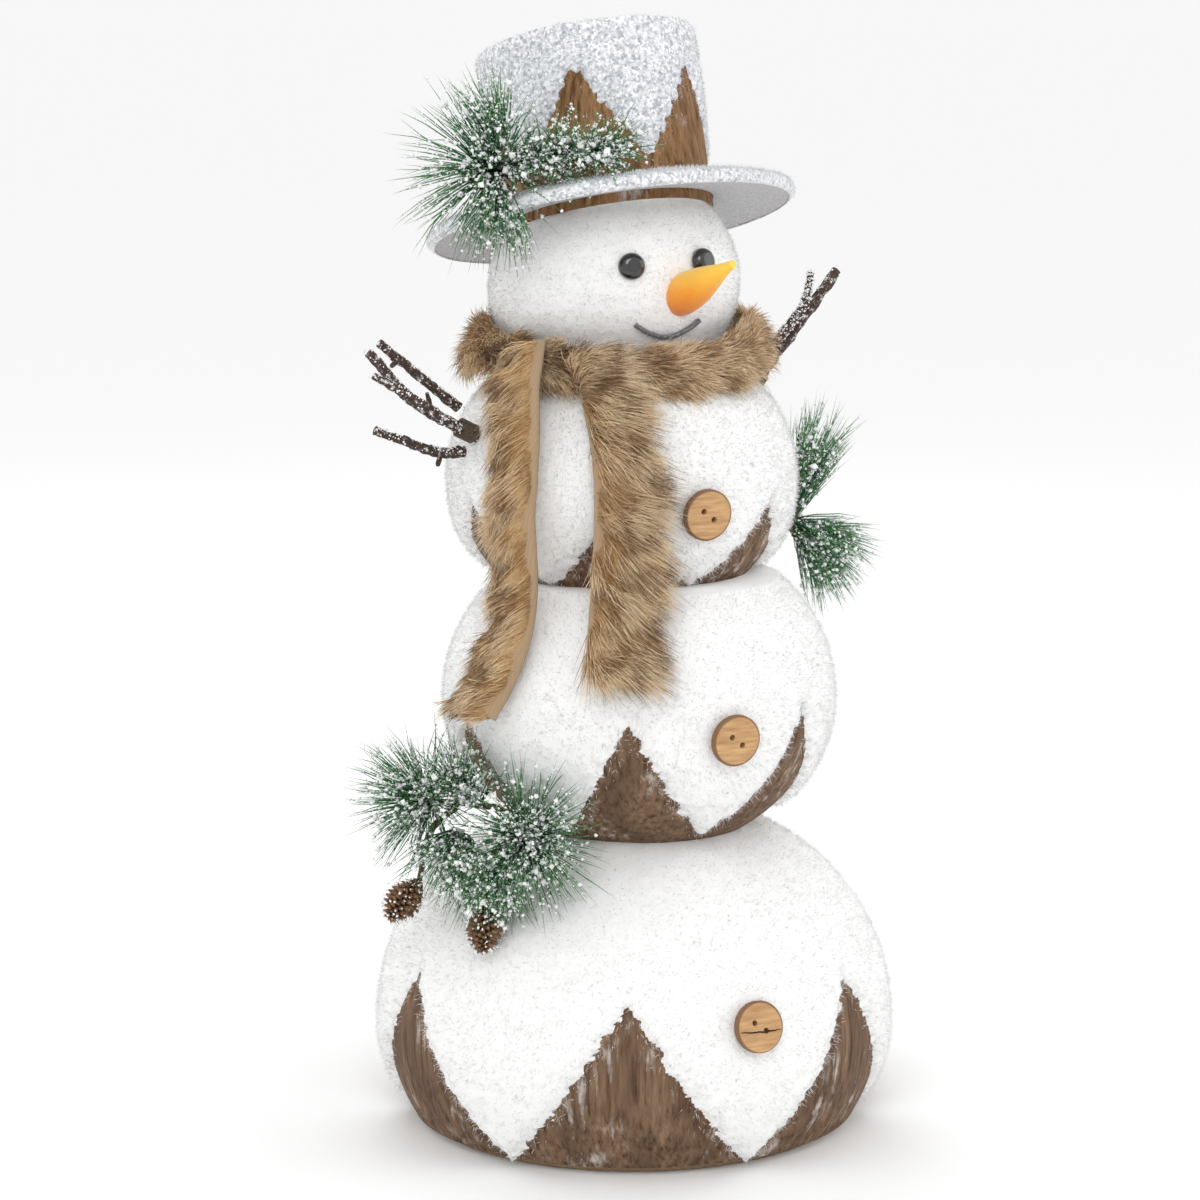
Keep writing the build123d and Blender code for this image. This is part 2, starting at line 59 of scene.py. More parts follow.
def add_camera():
    """The camera at the photograph's angle."""
    data = bpy.data.cameras.new("camera")
    data.lens = LENS
    data.shift_x, data.shift_y = SHIFT
    camera = bpy.data.objects.new("camera", data)
    bpy.context.scene.collection.objects.link(camera)
    flat = math.cos(VIEW_HEIGHT)
    away = Vector((math.sin(VIEW_AZIMUTH) * flat, -math.cos(VIEW_AZIMUTH) * flat,
                   math.sin(VIEW_HEIGHT)))
    camera.location = Vector((0, 0, AIM_HEIGHT)) + VIEW_DISTANCE * away
    camera.rotation_euler = away.to_track_quat("Z", "Y").to_euler()
    bpy.context.scene.camera = camera


def add_light(name, place, size, power):
    """A soft square light aimed at the figure's middle."""
    data = bpy.data.lights.new(name, "AREA")
    data.size = size
    data.energy = power
    light = bpy.data.objects.new(name, data)
    bpy.context.scene.collection.objects.link(light)
    light.location = place
    towards = Vector(place) - Vector((0, 0, AIM_HEIGHT))
    light.rotation_euler = towards.to_track_quat("Z", "Y").to_euler()


def add_stage():
    """A pale floor and an even, bright surrounding."""
    bpy.ops.mesh.primitive_plane_add(size=FLOOR_SIZE, location=(0, 0, 0))
    floor = bpy.context.object
    floor.name = "floor"
    shader = Shader("pale_floor")
    shader.principled(**{"Base Color": (0.93, 0.93, 0.93, 1), "Roughness": 0.9})
    floor.data.materials.append(shader.material)
    world = bpy.data.worlds.new("studio")
    world.use_nodes = True
    world.node_tree.nodes["Background"].inputs["Color"].default_value = (1, 1, 1, 1)
    world.node_tree.nodes["Background"].inputs["Strength"].default_value = 1.0
    bpy.context.scene.world = world
    add_light("key", (-0.9, -1.5, 1.5), 0.9, 8.0)
    add_light("fill", (1.5, -1.0, 0.9), 1.2, 3.0)
    add_light("back", (0.3, 1.5, 1.6), 1.0, 5.0)
    bpy.context.scene.view_settings.view_transform = "Standard"


# ---------------------------------------------------------------- shader helper
class Shader:
    """A node material built a few nodes at a time."""

    def __init__(self, name):
        self.material = bpy.data.materials.new(name)
        self.material.use_nodes = True
        self.tree = self.material.node_tree
        self.surface = self.tree.nodes["Principled BSDF"]
        self.place = self.node("ShaderNodeTexCoord").outputs["Object"]

    def node(self, kind, settings=None, **inputs):
        """Add a node, with its settings and its inputs as values or links."""
        made = self.tree.nodes.new(kind)
        for key, value in (settings or {}).items():
            setattr(made, key, value)
        for key, value in inputs.items():
            self.feed(made.inputs[key], value)
        return made

    def feed(self, socket, value):
        """Link a socket, or give it a plain value."""
        if isinstance(value, bpy.types.NodeSocket):
            self.tree.links.new(value, socket)
        else:
            socket.default_value = value

    def stretched(self, scale):
        """The piece's own coordinates, scaled along each axis."""
        mapping = self.node("ShaderNodeMapping", Vector=self.place)
        mapping.inputs["Scale"].default_value = scale
        return mapping.outputs["Vector"]

    def noise(self, scale, detail=4.0, roughness=0.55, vector=None):
        """A noise value."""
        made = self.node("ShaderNodeTexNoise", Vector=vector or self.place, Scale=scale,
                         Detail=detail, Roughness=roughness)
        return made.outputs["Fac"]

    def ramp(self, value, stops):
        """A colour ramp from (place, colour) stops; a plain number is a grey."""
        made = self.node("ShaderNodeValToRGB", Fac=value)
        elements = made.color_ramp.elements
        while len(elements) < len(stops):
            elements.new(0.5)
        for element, (place, colour) in zip(elements, stops):
            element.position = place
            element.color = (*colour, 1) if isinstance(colour, tuple) else (colour,) * 3 + (1,)
        return made.outputs["Color"]

    def mix(self, share, first, second, blend="MIX"):
        """Mix two colours."""
        made = self.node("ShaderNodeMix", {"data_type": "RGBA", "blend_type": blend})
        self.feed(made.inputs[0], share)
        self.feed(made.inputs[6], first if isinstance(first, bpy.types.NodeSocket) else (*first, 1))
        self.feed(made.inputs[7],
                  second if isinstance(second, bpy.types.NodeSocket) else (*second, 1))
        return made.outputs[2]

    def math(self, operation, first, second=0.0):
        """A math node's value."""
        made = self.node("ShaderNodeMath", {"operation": operation})
        self.feed(made.inputs[0], first)
        self.feed(made.inputs[1], second)
        return made.outputs[0]

    def attribute(self, name):
        """A number stored on the mesh."""
        return self.node("ShaderNodeAttribute", {"attribute_name": name}).outputs["Fac"]

    def bump(self, height, distance, strength=1.0):
        """Surface relief from a height in metres."""
        made = self.node("ShaderNodeBump", Height=height, Distance=distance, Strength=strength)
        return made.outputs["Normal"]

    def principled(self, **inputs):
        """Set or link the surface's own sockets."""
        for key, value in inputs.items():
            self.feed(self.surface.inputs[key], value)
        return self.material


# ---------------------------------------------------------------- materials
def snow_material(name, shade=(0.93, 0.93, 0.925)):
    """Thick white flock: soft, matt and faintly mottled."""
    shader = Shader(name)
    mottle = shader.ramp(shader.noise(160.0, 5.0), [(0.3, 0.95), (0.7, 1.0)])
    colour = shader.mix(1.0, shade, mottle, "MULTIPLY")
    grain = shader.noise(1500.0, 3.0)
    return shader.principled(**{
        "Base Color": colour, "Roughness": 0.95, "Sheen Weight": 0.35, "Sheen Roughness": 0.6,
        "Specular IOR Level": 0.2, "Normal": shader.bump(grain, 0.0004, 0.35)})


def glitter_material(name):
    """Silver-white flock scattered with glitter."""
    shader = Shader(name)
    flakes = shader.node("ShaderNodeTexVoronoi", Vector=shader.place, Scale=900.0)
    spark = shader.ramp(flakes.outputs["Color"], [(0.55, 0.0), (0.75, 1.0)])
    patch = shader.ramp(shader.noise(500.0, 4.0), [(0.38, (0.42, 0.44, 0.48)),
                                                   (0.6, (0.80, 0.81, 0.84))])
    colour = shader.mix(spark, patch, (0.93, 0.94, 0.97))
    rough = shader.ramp(flakes.outputs["Color"], [(0.3, 0.85), (0.8, 0.3)])
    return shader.principled(**{
        "Base Color": colour, "Roughness": rough, "Sheen Weight": 0.3,
        "Normal": shader.bump(shader.noise(1200.0, 3.0), 0.0006, 0.9)})


def wood_material(name, dark, light, wash, wash_from):
    """Weathered wood with upright grain and rubbed white streaks."""
    shader = Shader(name)
    fine = shader.noise(420.0, 6.0, 0.65, shader.stretched((1, 1, 0.06)))
    broad = shader.noise(70.0, 3.0, 0.5, shader.stretched((1, 1, 0.12)))
    grain = shader.ramp(fine, [(0.34, dark), (0.5, tuple(0.55 * (a + b) for a, b in zip(dark, light))),
                               (0.68, light)])
    toned = shader.mix(shader.ramp(broad, [(0.35, 0.55), (0.65, 0.0)]), grain, dark)
    streak = shader.noise(260.0, 5.0, 0.7, shader.stretched((1, 1, 0.1)))
    cloud = shader.noise(38.0, 4.0, 0.6)
    rubbed = shader.math("MULTIPLY", streak, cloud)
    washed = shader.mix(shader.ramp(rubbed, [(wash_from, 0.0), (wash_from + 0.13, 0.85)]),
                        toned, wash)
    relief = shader.math("ADD", fine, shader.math("MULTIPLY", streak, 0.5))
    return shader.principled(**{
        "Base Color": washed, "Roughness": shader.ramp(fine, [(0.3, 0.9), (0.7, 0.65)]),
        "Specular IOR Level": 0.25, "Normal": shader.bump(relief, 0.0012, 0.9)})


def button_material(name, centre):
    """Sanded wood disc with a scorched rim, round its own centre."""
    shader = Shader(name)
    apart = shader.node("ShaderNodeSeparateXYZ", Vector=shader.place)
    across = shader.math("SUBTRACT", apart.outputs["X"], centre[0])
    upward = shader.math("SUBTRACT", apart.outputs["Z"], centre[2])
    radius = shader.math("SQRT", shader.math("ADD", shader.math("MULTIPLY", across, across),
                                             shader.math("MULTIPLY", upward, upward)))
    grain = shader.noise(600.0, 5.0, 0.6, shader.stretched((0.12, 1, 1)))
    face = shader.ramp(grain, [(0.3, (0.36, 0.19, 0.075)), (0.55, (0.55, 0.32, 0.14)),
                               (0.75, (0.66, 0.42, 0.2))])
    rim = shader.ramp(shader.math("MULTIPLY", radius, 80.0), [(0.80, 0.0), (0.86, 1.0)])
    colour = shader.mix(rim, face, (0.20, 0.095, 0.035))
    return shader.principled(**{
        "Base Color": colour, "Roughness": 0.5,
        "Normal": shader.bump(grain, 0.0003, 0.5)})


def fur_material(name):
    """Tan faux fur: pale roots, tan lengths and some dark brown tips."""
    shader = Shader(name)
    tip = shader.attribute("along")
    tone = shader.attribute("tone")
    pale = shader.ramp(tip, [(0.0, (0.42, 0.23, 0.09)), (0.4, (0.74, 0.50, 0.25)),
                             (1.0, (0.95, 0.79, 0.56))])
    deep = shader.ramp(tip, [(0.0, (0.40, 0.22, 0.09)), (0.45, (0.50, 0.28, 0.11)),
                             (0.9, (0.09, 0.036, 0.012))])
    lock = shader.noise(75.0, 3.0)
    choice = shader.math("ADD", shader.math("MULTIPLY", tone, 0.25),
                         shader.math("MULTIPLY", lock, 0.75))
    colour = shader.mix(shader.ramp(choice, [(0.50, 0.0), (0.59, 1.0)]), pale, deep)
    return shader.principled(**{
        "Base Color": colour, "Roughness": 0.55, "Specular IOR Level": 0.35,
        "Sheen Weight": 0.2})


def backing_material(name):
    """The woven ground of the fur strip."""
    shader = Shader(name)
    weave = shader.node("ShaderNodeTexWave", Vector=shader.place, Scale=700.0, Distortion=1.5)
    colour = shader.ramp(weave.outputs["Fac"], [(0.2, (0.34, 0.22, 0.12)), (0.8, (0.52, 0.37, 0.22))])
    return shader.principled(**{
        "Base Color": colour, "Roughness": 0.9, "Sheen Weight": 0.3,
        "Normal": shader.bump(weave.outputs["Fac"], 0.0003, 0.6)})


def needle_material(name):
    """Pine needles, dark at the foot and lighter to the tip."""
    shader = Shader(name)
    tip = shader.attribute("along")
    tone = shader.attribute("tone")
    fresh = shader.ramp(tip, [(0.0, (0.02, 0.075, 0.02)), (0.6, (0.04, 0.20, 0.05)),
                              (1.0, (0.16, 0.36, 0.12))])
    old = shader.ramp(tip, [(0.0, (0.02, 0.06, 0.025)), (1.0, (0.06, 0.21, 0.07))])
    colour = shader.mix(tone, fresh, old)
    frost = shader.ramp(shader.noise(520.0, 4.0), [(0.60, 0.0), (0.68, 0.8)])
    return shader.principled(**{
        "Base Color": shader.mix(frost, colour, (0.80, 0.85, 0.84)), "Roughness": 0.5})


def bark_material(name):
    """Dark twig bark with fine snow caught in it."""
    shader = Shader(name)
    ridges = shader.noise(700.0, 6.0, 0.7)
    bark = shader.ramp(ridges, [(0.3, (0.025, 0.014, 0.010)), (0.6, (0.085, 0.05, 0.035)),
                                (0.8, (0.17, 0.11, 0.08))])
    dust = shader.ramp(shader.noise(420.0, 5.0, 0.75), [(0.55, 0.0), (0.63, 0.9)])
    return shader.principled(**{
        "Base Color": shader.mix(dust, bark, (0.74, 0.73, 0.73)), "Roughness": 0.85,
        "Normal": shader.bump(ridges, 0.0012, 0.9)})


def carrot_material(name, low, high):
    """Painted carrot: orange at the face and yellow at the tip."""
    shader = Shader(name)
    apart = shader.node("ShaderNodeSeparateXYZ", Vector=shader.place)
    share = shader.node("ShaderNodeMapRange", {"clamp": True}, Value=apart.outputs["Z"])
    share.inputs["From Min"].default_value = low
    share.inputs["From Max"].default_value = high
    cloud = shader.math("ADD", share.outputs[0],
                        shader.math("MULTIPLY", shader.noise(130.0, 4.0), 0.25))
    colour = shader.ramp(cloud, [(0.2, (0.90, 0.22, 0.012)), (0.6, (0.95, 0.36, 0.02)),
                                 (1.0, (0.98, 0.62, 0.06))])
    return shader.principled(**{
        "Base Color": colour, "Roughness": 0.55, "Sheen Weight": 0.3,
        "Normal": shader.bump(shader.noise(900.0, 4.0), 0.0004, 0.6)})


def plain_grained(name, dark, light, scale, roughness, relief=0.0003):
    """A small piece's two-tone grained surface."""
    shader = Shader(name)
    grain = shader.noise(scale, 5.0, 0.6)
    return shader.principled(**{
        "Base Color": shader.ramp(grain, [(0.35, dark), (0.65, light)]), "Roughness": roughness,
        "Normal": shader.bump(grain, relief, 0.6)})


def bead_material(name):
    """Polished black bead."""
    shader = Shader(name)
    swirl = shader.ramp(shader.noise(300.0, 3.0), [(0.4, (0.002, 0.002, 0.002)),
                                                   (0.7, (0.012, 0.011, 0.011))])
    return shader.principled(**{
        "Base Color": swirl, "Roughness": 0.08, "Coat Weight": 1.0})


# ---------------------------------------------------------------- mesh helpers
def link_mesh(name, vertices, faces, material, smooth=True):
    """A mesh object from points and faces."""
    mesh = bpy.data.meshes.new(name)
    mesh.from_pydata([tuple(point) for point in vertices], [], faces)
    mesh.validate()
    mesh.materials.append(material)
    mesh.polygons.foreach_set("use_smooth", [smooth] * len(mesh.polygons))
    made = bpy.data.objects.new(name, mesh)
    bpy.context.scene.collection.objects.link(made)
    return made


def spikes(name, roots, tips, bends, radii, material, tones, segments=2):
    """Closed three-sided hairs or needles, each bent in an arc from its root to its tip."""
    roots, tips, bends = (np.asarray(values, float) for values in (roots, tips, bends))
    radii, tones = np.asarray(radii, float), np.asarray(tones, float)
    count = len(roots)
    way = tips - roots
    way /= np.maximum(np.linalg.norm(way, axis=1, keepdims=True), 1e-9)
    spare = np.where(np.abs(way[:, 2:]) < 0.9, [[0.0, 0.0, 1.0]], [[1.0, 0.0, 0.0]])
    side = np.cross(way, spare)
    side /= np.linalg.norm(side, axis=1, keepdims=True)
    other = np.cross(way, side)
    rings = []
    along = []
    for step in range(segments):
        share = step / segments
        centre = roots + (tips - roots) * share + bends * (4 * share * (1 - share))
        width = radii[:, None] * (1 - 0.55 * share)
        for corner in range(3):
            turn = 2 * math.pi * corner / 3
            rings.append(centre + width * (math.cos(turn) * side + math.sin(turn) * other))
            along.append(np.full(count, share))
    rings.append(tips)
    along.append(np.ones(count))
    each = 3 * segments + 1
    points = np.stack(rings, axis=1).reshape(-1, 3)
    faces = [(0, 2, 1)]
    for step in range(segments - 1):
        for corner in range(3):
            low, high = 3 * step + corner, 3 * step + (corner + 1) % 3
            faces += [(low, high, high + 3), (low, high + 3, low + 3)]
    last = 3 * (segments - 1)
    faces += [(last + corner, last + (corner + 1) % 3, each - 1) for corner in range(3)]
    triangles = (np.array(faces)[None] + each * np.arange(count)[:, None, None]).reshape(-1)
    mesh = bpy.data.meshes.new(name)
    mesh.vertices.add(len(points))
    mesh.vertices.foreach_set("co", points.astype(np.float32).reshape(-1))
    mesh.loops.add(len(triangles))
    mesh.loops.foreach_set("vertex_index", triangles.astype(np.int32))
    mesh.polygons.add(len(triangles) // 3)
    mesh.polygons.foreach_set("loop_start", np.arange(0, len(triangles), 3, dtype=np.int32))
    mesh.update(calc_edges=True)
    mesh.polygons.foreach_set("use_smooth", np.ones(len(triangles) // 3, bool))
    for key, values in (("along", np.stack(along, axis=1)), ("tone", np.repeat(tones, each))):
        layer = mesh.attributes.new(key, "FLOAT", "POINT")
        layer.data.foreach_set("value", values.astype(np.float32).reshape(-1))
    mesh.materials.append(material)
    made = bpy.data.objects.new(name, mesh)
    bpy.context.scene.collection.objects.link(made)
    return made


def rough(points, scale, amount):
    """Smooth noise at points, as one number each."""
    return amount * np.array([noise.noise(Vector(point) * scale) for point in points])


def unit(vectors):
    """Vectors at length one."""
    vectors = np.asarray(vectors, float)
    return vectors / np.maximum(np.linalg.norm(vectors, axis=-1, keepdims=True), 1e-9)


# ---------------------------------------------------------------- flocked snow
SNOW_DEPTH = 4.0 * MM
BALL_FIBRES = 45000
BALL_FIBRE_LENGTH = 2.6 * MM
HEAD_FIBRES = 26000
HEAD_FIBRE_LENGTH = 2.0 * MM
CROWN_FIBRES = 22000
CROWN_FIBRE_LENGTH = 1.7 * MM


def frame_matrix(origin, back, side):
    """The upright frame of a piece that leans back and to the figure's right."""
    up = Vector((-math.sin(side), math.sin(back), math.cos(back))).normalized()
    across = Vector((0, 1, 0)).cross(up).normalized()
    return np.array([across, up.cross(across), up]).T, np.array(origin)


UPRIGHT = (np.eye(3), np.zeros(3))


class Flocked:
    """A turned body under flock, which may come down over it in points."""

    def __init__(self, profile, wedge=None, placed=UPRIGHT, depth=SNOW_DEPTH):
        self.profile, self.wedge, self.placed, self.depth = profile, wedge, placed, depth

    def body(self, angle, share):
        """Points and outward directions on the bare body, in its own frame."""
        angle, share = np.broadcast_arrays(angle, share)
        radius, height, out, up = self.profile(share)
        flat = np.stack([np.sin(angle), -np.cos(angle)], axis=-1)
        place = np.concatenate([flat * radius[..., None], height[..., None]], axis=-1)
        normal = np.concatenate([flat * out[..., None], up[..., None]], axis=-1)
        return place, normal, radius, height

    def hem(self, angle, height, radius):
        """Distance from the nearest bare triangle's edge, positive over the flock."""
        if self.wedge is None:
            return np.full(np.shape(radius), 1.0)
        foot, tip, half = (self.wedge[key] for key in ("foot", "tip", "half"))
        step = 2 * math.pi / self.wedge["count"]
        start = math.radians(self.wedge["turn"]) + 0.5 * step
        offset = (angle - start + step / 2) % step - step / 2
        share = (tip - height) / (tip - foot)
        across = np.abs(radius * np.sin(offset))
        side = (across - half * np.maximum(share, 0)) / math.hypot(1, half / (tip - foot))
        return np.where(share > 0, side, np.hypot(across, np.maximum(height - tip, 0)))

    def thickness(self, angle, height, place, radius):
        """Flock over the body, with a frayed hem; beyond it, just under the body's face."""
        flat = place.reshape(-1, 3)
        fray = rough(flat, 260.0, 2.6 * MM) + rough(flat, 900.0, 1.5 * MM)
        inside = self.hem(angle, height, radius) + fray.reshape(radius.shape)
        rise = np.clip(inside / (7.0 * MM), -1, 1)
        lumps = rough(flat, 45.0, 0.6 * MM) + rough(flat, 330.0, 0.25 * MM)
        over = np.clip(rise, 0, 1)
        full = self.depth * np.sqrt(over) + lumps.reshape(radius.shape) * over
        return np.where(rise > 0, full, -1.0 * MM * np.clip(-4 * rise, 0, 1))

    def put(self, points):
        """Points of the body's own frame in the world."""
        turn, origin = self.placed
        return points @ turn.T + origin

    def build(self, name, material, columns=420, rows=150):
        """The flock as one closed mesh."""
        angles = np.linspace(0, 2 * math.pi, columns, endpoint=False)
        angle, share = np.meshgrid(angles, np.linspace(0, 1, rows))
        place, normal, radius, height = self.body(angle, share)
        depth = self.thickness(angle, height, place, radius)
        points = self.put((place + normal * depth[..., None]).reshape(-1, 3))
        faces = []
        for row in range(rows - 1):
            for column in range(columns):
                after = (column + 1) % columns
                faces.append((row * columns + column, row * columns + after,
                              (row + 1) * columns + after, (row + 1) * columns + column))
        faces.append(tuple(range(columns - 1, -1, -1)))
        faces.append(tuple((rows - 1) * columns + column for column in range(columns)))
        return link_mesh(name, points, faces, material)

    def fuzz(self, name, count, length, material, seed):
        """Short fibres standing out of the flock, longer and wilder along its hem."""
        chance = np.random.default_rng(seed)
        angle = chance.uniform(0, 2 * math.pi, count)
        share = chance.random(count)
        place, normal, radius, height = self.body(angle, share)
        inside = self.hem(angle, height, radius)
        widest = radius.max()
        keep = (inside > -7.0 * MM * chance.random(count)**2.5) & (chance.random(count)
                                                                < 0.25 + radius / widest)
        angle, height, place = angle[keep], height[keep], place[keep]
        normal, radius, inside = normal[keep], radius[keep], inside[keep]
        depth = np.maximum(self.thickness(angle, height, place, radius), 0.0)
        roots = place + normal * (depth - 0.3 * MM)[:, None]
        edge = np.exp(-np.abs(inside) / (4 * MM))
        wild = chance.normal(size=roots.shape) * (0.55 + 0.5 * edge)[:, None]
        reach = length * chance.uniform(0.5, 1.2, len(roots)) * (1 + 0.5 * edge)
        tips = roots + unit(normal + wild) * reach[:, None]
        bends = np.zeros(roots.shape)
        roots, tips = self.put(roots), self.put(tips)
        tips[:, 2] = np.maximum(tips[:, 2], 0.4 * MM)
        return spikes(name, roots, tips, bends, chance.uniform(0.10, 0.20, len(roots)) * MM,
                      material, chance.random(len(roots)), 1)


def ball_profile(radius, half_height, low, high):
    """Profile of an oblate ball between two heights from its centre."""
    def profile(share):
        height = low + (high - low) * share
        wide = radius * np.sqrt(1 - (height / half_height)**2)
        out, up = wide / radius**2, height / half_height**2
        size = np.hypot(out, up)
        return wide, height, out / size, up / size
    return profile


def crown_profile(low_radius, top_radius, foot, top):
    """Profile of a hat's crown: up its side and over its edge to the middle of its top."""
    side = top - foot
    whole = side + 0.985 * top_radius

    def profile(share):
        run = share * whole
        climb = np.minimum(run, side)
        wide = low_radius + (top_radius - low_radius) * climb / side
        wide = wide - np.maximum(run - side, 0)
        turn = np.clip((run - side + 2 * MM) / (4 * MM), 0, 1) * math.pi / 2
        return wide, foot + climb, np.cos(turn), np.sin(turn)
    return profile


# The balls, as in the frame: their own centres, radii, half heights and snow points.
BALLS = {
    "bottom": dict(z=48.0, a=113.0, c=97.0, tip=80.0, half=50.0, turn=1.5),
    "middle": dict(z=196.0, a=84.0, c=72.0, tip=199.0, half=33.0, turn=0.0),
    "chest": dict(z=291.0, a=74.5, c=64.0, tip=286.0, half=32.0, turn=2.0),
}
HEAD_ORIGIN = (0.0, 20.0 * MM, 379.0 * MM)
LEAN = (math.radians(16.0), math.radians(1.5))
HEAD_PLACED = frame_matrix(HEAD_ORIGIN, *LEAN)
HAT_FORWARD = 7.0 * MM
HAT_PLACED = (HEAD_PLACED[0], HEAD_PLACED[1] + HEAD_PLACED[0] @ np.array([0, -HAT_FORWARD, 0]))
SEAT = 26.2 * MM
CROWN_HEIGHT = 79.0 * MM
BRIM_TOP = SEAT + 7.5 * MM


def add_snow(snow, glitter):
    """Flock and its fibres on the balls, head and hat."""
    for index, (name, ball) in enumerate(BALLS.items()):
        wood_low, wood_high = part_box(f"{name}_ball_veneer")
        centre = np.array([0, 0.5 * (wood_low[1] + wood_high[1]), ball["z"] * MM])
        low, high = wood_low[2] - centre[2], wood_high[2] - centre[2]
        wedge = dict(foot=low, tip=ball["tip"] * MM - centre[2], half=ball["half"] * MM,
                     turn=ball["turn"], count=6)
        cover = Flocked(ball_profile(ball["a"] * MM, ball["c"] * MM, low, high), wedge,
                        (np.eye(3), centre))
        piece = cover.build(f"{name}_snow_cover", snow)
        fuzz = cover.fuzz(f"{name}_snow_fuzz", BALL_FIBRES, BALL_FIBRE_LENGTH, snow,
                          11 + index)
        dress_piece(piece, "snow_flock", f"{name}_ball_snow")
        dress_piece(fuzz, "snow_flock")
    top = 1.0 * MM + SEAT
    head = Flocked(ball_profile(53.0 * MM, 48.0 * MM, -47.0 * MM, top), None, HEAD_PLACED,
                   3.0 * MM)
    cover = head.build("head_flock", snow, 300, 120)
    dress_piece(cover, "snow_flock", "head_snow")
    fuzz = head.fuzz("head_fuzz", HEAD_FIBRES, HEAD_FIBRE_LENGTH, snow, 21)
    dress_piece(fuzz, "snow_flock")
    wedge = dict(foot=BRIM_TOP, tip=SEAT + 62.0 * MM, half=34.0 * MM, turn=0.0, count=5)
    crown = Flocked(crown_profile(46.1 * MM, 47.5 * MM, BRIM_TOP, SEAT + CROWN_HEIGHT), wedge,
                    HAT_PLACED, 2.2 * MM)
    cover = crown.build("hat_crown_flock", glitter, 320, 150)
    dress_piece(cover, "glitter_flock", "hat_crown_snow")
    fuzz = crown.fuzz("hat_crown_fuzz", CROWN_FIBRES, CROWN_FIBRE_LENGTH, glitter, 22)
    dress_piece(fuzz, "glitter_flock")


def add_brim_fuzz(glitter, count=16000):
    """Fibres on the brim's flocked upper face and round its rim."""
    chance = np.random.default_rng(31)
    angle = chance.uniform(0, 2 * math.pi, count)
    rim = chance.random(count) < 0.45
    radius = np.where(rim, chance.uniform(80.5, 82.3, count), chance.uniform(50, 82, count)) * MM
    droop = 5.0 * MM * ((radius / MM - 46) / 36)**2
    height = BRIM_TOP + 2.0 * MM - droop - np.where(rim, chance.uniform(0, 4.5, count), 0) * MM
    flat = np.stack([np.sin(angle), -np.cos(angle), 0 * angle], axis=-1)
    roots = flat * radius[:, None] + height[:, None] * np.array([0, 0, 1.0])
    facing = np.where(rim[:, None], flat, [[0, 0, 1.0]])
    tips = roots + unit(facing + 0.7 * chance.normal(size=roots.shape)) * (
        chance.uniform(1.0, 2.4, count) * MM)[:, None]
    turn, origin = HAT_PLACED
    fuzz = spikes("hat_brim_fuzz", roots @ turn.T + origin, tips @ turn.T + origin,
                  np.zeros(roots.shape), chance.uniform(0.1, 0.2, count) * MM, glitter,
                  chance.random(count), 1)
    dress_piece(fuzz, "glitter_flock")


def dress_piece(piece, slot, *nodes, body="figure"):
    """Give a piece its body and hide the nodes that it stands for; the slot is not used."""
    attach(piece, body)
    if nodes:
        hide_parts(*nodes)


